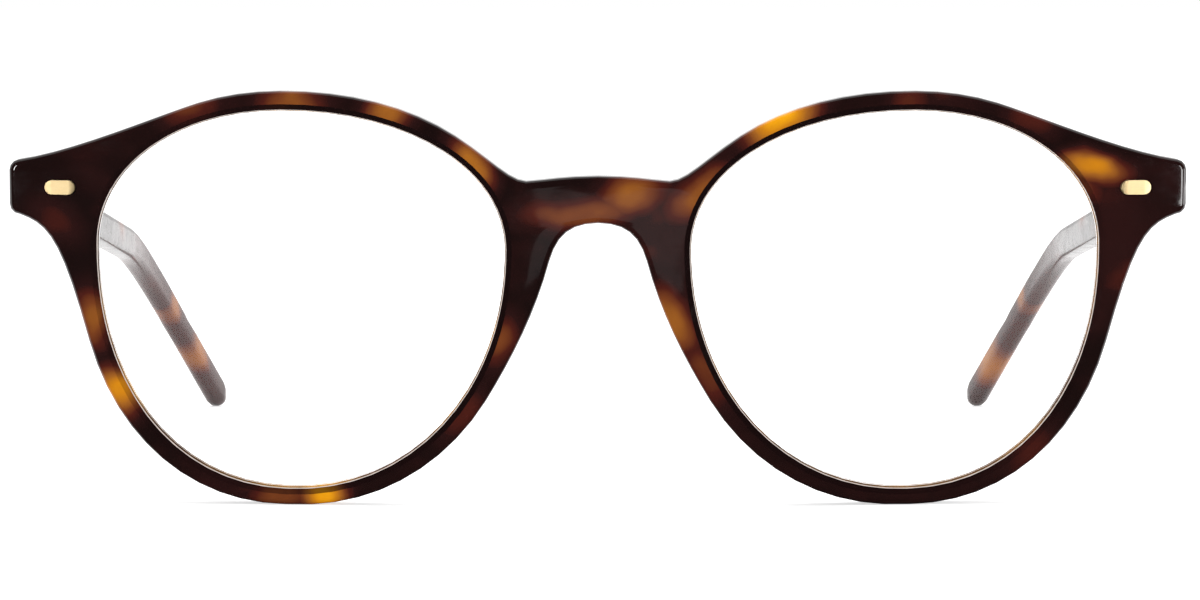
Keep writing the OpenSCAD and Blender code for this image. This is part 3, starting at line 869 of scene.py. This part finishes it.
@dataclass(frozen=True)
class Opening:
    """Outline of the opening of the left rim on the curved front, in mm.

    Attributes:
        nose: X of its nose side.
        temple: X of its temple side.
        low: Z of its lowest point.
        high: Z of its highest point.
        foot: X of the lowest point.
        crown: X of the highest point.
        wide_in: Z where it is widest to the nose.
        wide_out: Z where it is widest to the temple.
        upper_full: exponent of the upper quarters; 2 is an ellipse and more is fuller.
        lower_full: exponent of the lower quarter to the temple.
        lower_nose_full: exponent of the lower quarter to the nose.
        curve_r: radius of the curve of the front.
        curve_z: Z of the middle of that curve.
    """

    nose: float = 10.85
    temple: float = 59.75
    low: float = 1.9
    high: float = 47.2
    foot: float = 36.1
    crown: float = 37.4
    wide_in: float = 30.55
    wide_out: float = 30.95
    upper_full: float = 2.08
    lower_full: float = 2.18
    lower_nose_full: float = 2.06
    curve_r: float = 330.0
    curve_z: float = 37.8

    def at(self, turn: float, inside: float) -> tuple[float, float]:
        """Gives a point of the outline.

        Args:
            turn: the turn about the opening in radians; 0 points to the temple, a quarter turn up.
            inside: how far inside of the outline it lies.

        Returns:
            Its X and Z for the left rim.
        """
        c, s = math.cos(turn), math.sin(turn)
        full = self.upper_full if s >= 0 else self.lower_nose_full if c < 0 else self.lower_full
        mid_x = self.foot if s < 0 else self.crown
        mid_z = self.wide_in if c < 0 else self.wide_out
        half_w = mid_x - self.nose if c < 0 else self.temple - mid_x
        half_h = mid_z - self.low if s < 0 else self.high - mid_z
        share = 2.0 / full
        x = mid_x + half_w * math.copysign(abs(c) ** share, c)
        z = mid_z + half_h * math.copysign(abs(s) ** share, s)
        out_x = math.copysign(abs(c) ** (2 - share), c) / half_w
        out_z = math.copysign(abs(s) ** (2 - share), s) / half_h
        out = Vector((out_x, out_z)).normalized()
        return x - out.x * inside, z - out.y * inside

    def depth(self, x: float, z: float) -> float:
        """Gives how far the curve of the front sets a point back.

        Args:
            x: the point's X in mm.
            z: the point's Z in mm.

        Returns:
            The depth in mm.
        """
        return self.curve_r - math.sqrt(self.curve_r ** 2 - x ** 2 - (z - self.curve_z) ** 2)


@dataclass(frozen=True)
class GroundEdge:
    """The frosted line of the ground edge of a lens.

    Attributes:
        name: the material's name.
        tint: its colour.
        least_rough: roughness where it is smoothest.
        most_rough: roughness where it is coarsest.
        grain: how fine the marks of grinding are.
    """

    name: str = "ground_lens_edge"
    tint: tuple[float, float, float] = (0.72, 0.62, 0.56)
    least_rough: float = 0.3
    most_rough: float = 0.5
    grain: float = 4.0

    def build(self, groups: Groups) -> bpy.types.Material:
        """Builds the material.

        Args:
            groups: the shared shader groups.

        Returns:
            The material.
        """
        material, t, shader, _ = new_material(self.name)
        polish = add_polish(t, groups, shader, self.least_rough, self.most_rough, self.grain)
        add_tint(t, shader, polish, self.tint)
        return material


@dataclass
class Lenses:
    """The two lenses, each with the frosted line of its ground edge.

    Attributes:
        front_y: Y of the foremost point of the front, in m.
        opening: outline of the opening that a lens sits in.
        finish: the lens.
        edge: the ground edge.
        edge_section: corners of the ring's section in mm, inside of the outline and behind the front.
        steps: sections round the ring.
    """

    front_y: float
    opening: Opening = field(default_factory=Opening)
    finish: ClearLens = field(default_factory=ClearLens)
    edge: GroundEdge = field(default_factory=GroundEdge)
    edge_section: tuple[tuple[float, float], ...] = (
        (0.01, 0.62),
        (0.07, 0.70),
        (0.10, 0.82),
        (0.01, 0.82),
    )
    steps: int = 150

    def edge_ring(self, side: Side) -> bpy.types.Object:
        """Builds the thin ring between the front of a lens and the wall of its rim.

        Args:
            side: the side of the lens.

        Returns:
            The ring.
        """
        corners = []
        for step in range(self.steps):
            turn = 2 * math.pi * step / self.steps
            for inside, back in self.edge_section:
                x, z = self.opening.at(turn, inside)
                y = self.front_y / MM + back + self.opening.depth(x, z)
                corners.append((side.value * x * MM, y * MM, z * MM))
        n = len(self.edge_section)
        faces = []
        for step in range(self.steps):
            after = (step + 1) % self.steps
            for k in range(n):
                quad = (step * n + k, after * n + k, after * n + (k + 1) % n, step * n + (k + 1) % n)
                faces.append(quad if side is Side.LEFT else quad[::-1])
        mesh = bpy.data.meshes.new("lens_edge_" + side.word)
        mesh.from_pydata(corners, [], faces)
        mesh.validate()
        ring = bpy.data.objects.new("lens_edge_" + side.word, mesh)
        bpy.context.scene.collection.objects.link(ring)
        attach(ring, "front")
        return ring

    def build(self, groups: Groups) -> list[bpy.types.Object]:
        """Dresses both lenses and builds their edges.

        Args:
            groups: the shared shader groups.

        Returns:
            The lenses and their edges.
        """
        clear = self.finish.build(groups)
        frosted = self.edge.build(groups)
        made = [dress("lens_" + side.word, clear) for side in Side]
        for side in Side:
            ring = self.edge_ring(side)
            ring.data.materials.append(frosted)
            made.append(ring)
        return made


@dataclass
class Temples:
    """The two temples with their core wires.

    Attributes:
        wire: finish of the wires.
        flecks: warmth of the flecks in the temples.
        drifts: shift in mm of the pattern of the right and of the left temple.
        rough: least and greatest roughness of the temples.
    """

    wire: Metal = field(default_factory=lambda: Metal("core_wire", (0.66, 0.64, 0.58), 0.2, 0.35))
    flecks: float = 0.4
    drifts: tuple[float, float] = (17.0, 97.0)
    rough: tuple[float, float] = (0.2, 0.26)

    def build(self, groups: Groups) -> list[bpy.types.Object]:
        """Dresses the temples and their wires.

        Args:
            groups: the shared shader groups.

        Returns:
            The dressed pieces.
        """
        steel = self.wire.build(groups)
        made = []
        for side, clouds, drift in zip(Side, (RIGHT_TEMPLE_CLOUDS, LEFT_TEMPLE_CLOUDS), self.drifts):
            acetate = Acetate(
                "temple_acetate_" + side.word,
                clouds,
                plane=Plane.SIDE,
                flecks=self.flecks,
                drift=drift,
                least_rough=self.rough[0],
                most_rough=self.rough[1],
            )
            made.append(dress("temple_" + side.word, acetate.build(groups)))
            made.append(dress("core_wire_" + side.word, steel))
        return made


@dataclass
class Hinges:
    """Hinge leaves and screws.

    Attributes:
        leaf: finish of the leaves.
        screw: finish of the screws.
        edge_mm: width of their softened edges.
        crease_deg: angle from which an edge stays sharp.
    """

    leaf: Metal = field(default_factory=lambda: Metal("nickel_silver", (0.74, 0.71, 0.65), 0.18, 0.34))
    screw: Metal = field(default_factory=lambda: Metal("screw_steel", (0.80, 0.80, 0.81), 0.12, 0.25))
    edge_mm: float = 0.07
    crease_deg: float = 20.0

    def build(self, groups: Groups) -> list[bpy.types.Object]:
        """Dresses the leaves and screws of both hinges.

        Args:
            groups: the shared shader groups.

        Returns:
            The dressed pieces.
        """
        silver = self.leaf.build(groups)
        steel = self.screw.build(groups)
        made = []
        for side in Side:
            for kind in ("front_hinge_leaf_", "temple_hinge_leaf_"):
                made.append(dress(kind + side.word, silver, self.edge_mm, self.crease_deg))
            made.append(dress("hinge_screw_" + side.word, steel, self.edge_mm, self.crease_deg))
        return made


@dataclass
class Plaques:
    """The gilt plaques on the end pieces and on the temples.

    Attributes:
        gilt: their finish.
        edge_mm: width of their softened edges.
    """

    gilt: Metal = field(default_factory=lambda: Metal("pale_gilt", (1.0, 0.78, 0.43), 0.48, 0.56))
    edge_mm: float = 0.12

    def build(self, groups: Groups) -> list[bpy.types.Object]:
        """Dresses the four plaques.

        Args:
            groups: the shared shader groups.

        Returns:
            The dressed pieces.
        """
        gold = self.gilt.build(groups)
        nodes = [place + side.word for place in ("front_plaque_", "temple_plaque_") for side in Side]
        return [dress(node, gold, self.edge_mm) for node in nodes]


@dataclass(frozen=True)
class Card:
    """A card that only reflections see.

    Attributes:
        name: its name.
        corners: its corners in m.
        level: how bright it is.
        reach: how far off in m it is seen, or None for any distance.
    """

    name: str
    corners: tuple[tuple[float, float, float], ...]
    level: float
    reach: float | None = None

    def build(self) -> bpy.types.Object:
        """Builds the card.

        Returns:
            The card.
        """
        mesh = bpy.data.meshes.new(self.name)
        mesh.from_pydata(list(self.corners), [], [tuple(range(len(self.corners)))])
        card = bpy.data.objects.new(self.name, mesh)
        bpy.context.scene.collection.objects.link(card)
        material, t, shader, _ = new_material(self.name)
        shader.inputs["Base Color"].default_value = (0.0, 0.0, 0.0, 1.0)
        shader.inputs["Roughness"].default_value = 1.0
        shader.inputs["Specular IOR Level"].default_value = 0.0
        shader.inputs["Emission Color"].default_value = (1.0, 1.0, 1.0, 1.0)
        shader.inputs["Emission Strength"].default_value = self.level
        if self.reach is not None:
            near = t.math("LESS_THAN", t.add("ShaderNodeLightPath").outputs["Ray Length"], self.reach)
            t.put(shader.inputs["Emission Strength"], t.math("MULTIPLY", near, self.level))
        material.cycles.emission_sampling = "NONE"
        mesh.materials.append(material)
        card.visible_camera = False
        card.visible_diffuse = False
        card.visible_shadow = False
        card.visible_transmission = False
        return card


def upright(
    x: float, near: float, far: float, low: float, high: float
) -> tuple[tuple[float, float, float], ...]:
    """Gives the corners of an upright card that runs along Y.

    Args:
        x: its X in m.
        near: its Y towards the camera.
        far: its Y away from the camera.
        low: Z of its lower edge.
        high: Z of its upper edge.

    Returns:
        The four corners.
    """
    return (x, near, low), (x, far, low), (x, far, high), (x, near, high)


def level_card(half: float, near: float, far: float, z: float) -> tuple[tuple[float, float, float], ...]:
    """Gives the corners of a level card in front of the object.

    Args:
        half: half its width in m.
        near: its Y towards the camera.
        far: its Y away from the camera.
        z: its height.

    Returns:
        The four corners.
    """
    return (-half, near, z), (half, near, z), (half, far, z), (-half, far, z)


# A dark tent in front of the object keeps the polished front dark. Its roof and floor end near the object.
TENT_HALF = 3.1
TENT_FRONT = -1.7
TENT_BACK = 0.3
TENT_HIGH = 2.6
TENT_WALL = (
    (-TENT_HALF, TENT_FRONT, 0.0),
    (TENT_HALF, TENT_FRONT, 0.0),
    (TENT_HALF, TENT_FRONT, TENT_HIGH),
    (-TENT_HALF, TENT_FRONT, TENT_HIGH),
)
# The lit wedge on the floor that the bridge mirrors.
WEDGE = (
    (-0.047, -0.90, 0.001),
    (-0.018, -0.84, 0.001),
    (0.0, -0.72, 0.001),
    (0.03, -0.80, 0.001),
    (0.066, -0.90, 0.001),
    (0.023, -0.245, 0.001),
    (-0.016, -0.245, 0.001),
)
CARDS = (
    Card("dark_wall", TENT_WALL, 0.02),
    Card("dark_left", upright(TENT_HALF, TENT_FRONT, TENT_BACK, 0.0, TENT_HIGH), 0.02),
    Card("dark_right", upright(-TENT_HALF, TENT_FRONT, TENT_BACK, 0.0, TENT_HIGH), 0.02),
    Card("dark_roof", level_card(TENT_HALF, TENT_FRONT, -0.2, TENT_HIGH), 0.02),
    Card("dark_floor", level_card(TENT_HALF, TENT_FRONT, -0.06, 0.00005), 0.03),
    Card("light_wedge", WEDGE, 0.42),
    Card("light_strip_front", upright(0.13, -0.160, -0.105, 0.026, 0.046), 11.0, 0.13),
    Card("light_strip_back", upright(0.13, -0.078, -0.045, 0.026, 0.046), 5.0, 0.13),
)


# The place in m that the lamps point at.
AIM = (0.0, -0.05, 0.03)


@dataclass(frozen=True)
class Lamp:
    """An area lamp that points at the object.

    Attributes:
        name: its name.
        at: its place in m.
        size: its width and height in m.
        watts: its power.
        mirrored: whether polished faces mirror it.
    """

    name: str
    at: tuple[float, float, float]
    size: tuple[float, float]
    watts: float
    mirrored: bool = True

    def build(self) -> bpy.types.Object:
        """Builds the lamp.

        Returns:
            The lamp.
        """
        light = bpy.data.lights.new(self.name, "AREA")
        light.shape = "RECTANGLE"
        light.size, light.size_y = self.size
        light.energy = self.watts
        lamp = bpy.data.objects.new(self.name, light)
        bpy.context.scene.collection.objects.link(lamp)
        lamp.location = self.at
        lamp.visible_glossy = self.mirrored
        lamp.visible_transmission = False
        towards = Vector(AIM) - Vector(self.at)
        lamp.rotation_euler = towards.to_track_quat("-Z", "Y").to_euler()
        return lamp


LAMPS = (
    Lamp("top_box", (0.0, 0.1, 1.3), (1.6, 0.9), 13.0, False),
    Lamp("left_box", (1.05, -1.25, 0.17), (0.35, 0.3), 3.6),
    Lamp("right_box", (-1.05, -1.25, 0.17), (0.35, 0.3), 8.5),
    Lamp("side_strip", (0.85, 0.26, 0.12), (0.5, 0.16), 5.0, False),
)


@dataclass
class Studio:
    """White floor and background, lamps, and cards for the reflections.

    Attributes:
        floor_m: side of the floor in m.
        floor_glow: how much the floor that is seen glows by itself.
        sky_level: how strongly the surroundings light things.
    """

    floor_m: float = 6.0
    floor_glow: float = 0.62
    sky_level: float = 0.6

    @staticmethod
    def seen(t: Tree) -> bpy.types.NodeSocket:
        """Gives 1 to rays that show the surroundings themselves, and 0 to those that only light things.

        Args:
            t: the tree of the floor or the world.

        Returns:
            The mask.
        """
        ray = t.add("ShaderNodeLightPath")
        through = t.math("MAXIMUM", ray.outputs["Is Glossy Ray"], ray.outputs["Is Transmission Ray"])
        return t.math("MAXIMUM", ray.outputs["Is Camera Ray"], through)

    def floor(self) -> bpy.types.Object:
        """Builds the floor, which keeps the shadow of the object.

        Returns:
            The floor.
        """
        half = self.floor_m / 2
        mesh = bpy.data.meshes.new("floor")
        mesh.from_pydata(list(level_card(half, -half, half, 0.0)), [], [(0, 1, 2, 3)])
        plane = bpy.data.objects.new("floor", mesh)
        bpy.context.scene.collection.objects.link(plane)
        material, t, shader, _ = new_material("white_sweep")
        shader.inputs["Base Color"].default_value = (0.8, 0.8, 0.8, 1.0)
        shader.inputs["Roughness"].default_value = 0.9
        shader.inputs["Specular IOR Level"].default_value = 0.0
        t.put(shader.inputs["Emission Strength"], t.math("MULTIPLY", self.seen(t), self.floor_glow))
        shader.inputs["Emission Color"].default_value = (1.0, 1.0, 1.0, 1.0)
        material.cycles.emission_sampling = "NONE"
        mesh.materials.append(material)
        return plane

    def world(self) -> None:
        """Sets the white surroundings."""
        world = bpy.data.worlds.new("studio")
        bpy.context.scene.world = world
        world.use_nodes = True
        t = Tree(world.node_tree)
        out = t.add("ShaderNodeOutputWorld")
        back = t.add("ShaderNodeBackground")
        back.inputs["Color"].default_value = (1.0, 1.0, 1.0, 1.0)
        t.put(back.inputs["Strength"], t.math("MAXIMUM", self.seen(t), self.sky_level))
        t.put(out.inputs["Surface"], back.outputs[0])

    def build(self) -> None:
        """Builds the whole studio."""
        self.floor()
        self.world()
        for piece in (*CARDS, *LAMPS):
            piece.build()


@dataclass
class View:
    """The camera at the photograph's place, in m.

    Attributes:
        across: X of the camera.
        plane_y: Y of the plane whose width fills the frame.
        distance: how far in front of that plane the camera stands.
        height: Z of the camera.
        aim: X and Z that it points at on that plane.
        frame_width: the width of that plane that the picture shows.
        sensor_mm: width of the sensor in mm.
    """

    across: float = -0.001
    plane_y: float = -0.06747
    distance: float = 0.700
    height: float = 0.0727
    aim: tuple[float, float] = (0.00024, 0.0245)
    frame_width: float = 0.14269
    sensor_mm: float = 36.0

    def build(self) -> bpy.types.Object:
        """Builds the camera and makes it the scene's.

        Returns:
            The camera.
        """
        data = bpy.data.cameras.new("photo_view")
        camera = bpy.data.objects.new("photo_view", data)
        bpy.context.scene.collection.objects.link(camera)
        at = Vector((self.across, self.plane_y - self.distance, self.height))
        target = Vector((self.aim[0], self.plane_y, self.aim[1]))
        camera.location = at
        camera.rotation_euler = (target - at).to_track_quat("-Z", "Y").to_euler()
        data.sensor_width = self.sensor_mm
        data.lens = self.sensor_mm * (target - at).length / self.frame_width
        data.clip_start = 0.01
        data.clip_end = 50.0
        bpy.context.scene.camera = camera
        return camera


def box_numbers(box: tuple[Vector, Vector]) -> list[list[float]]:
    """Gives a box as plain lists.

    Args:
        box: the lowest and the highest corner.

    Returns:
        The corners as lists of numbers.
    """
    return [[float(v) for v in corner] for corner in box]


def main() -> None:
    """Builds the scene."""
    logging.basicConfig(level=logging.INFO, format="%(message)s")
    cad_box = box_numbers(cad_bounds)
    bpy.context.scene.view_settings.view_transform = "Standard"
    groups = Groups.build()
    for part in (Front(), Lenses(cad_box[0][1]), Temples(), Hinges(), Plaques()):
        for piece in part.build(groups):
            log.info("%s: %s", type(part).__name__, piece.name)
    Studio().build()
    View().build()


if __name__ == "__main__":
    main()
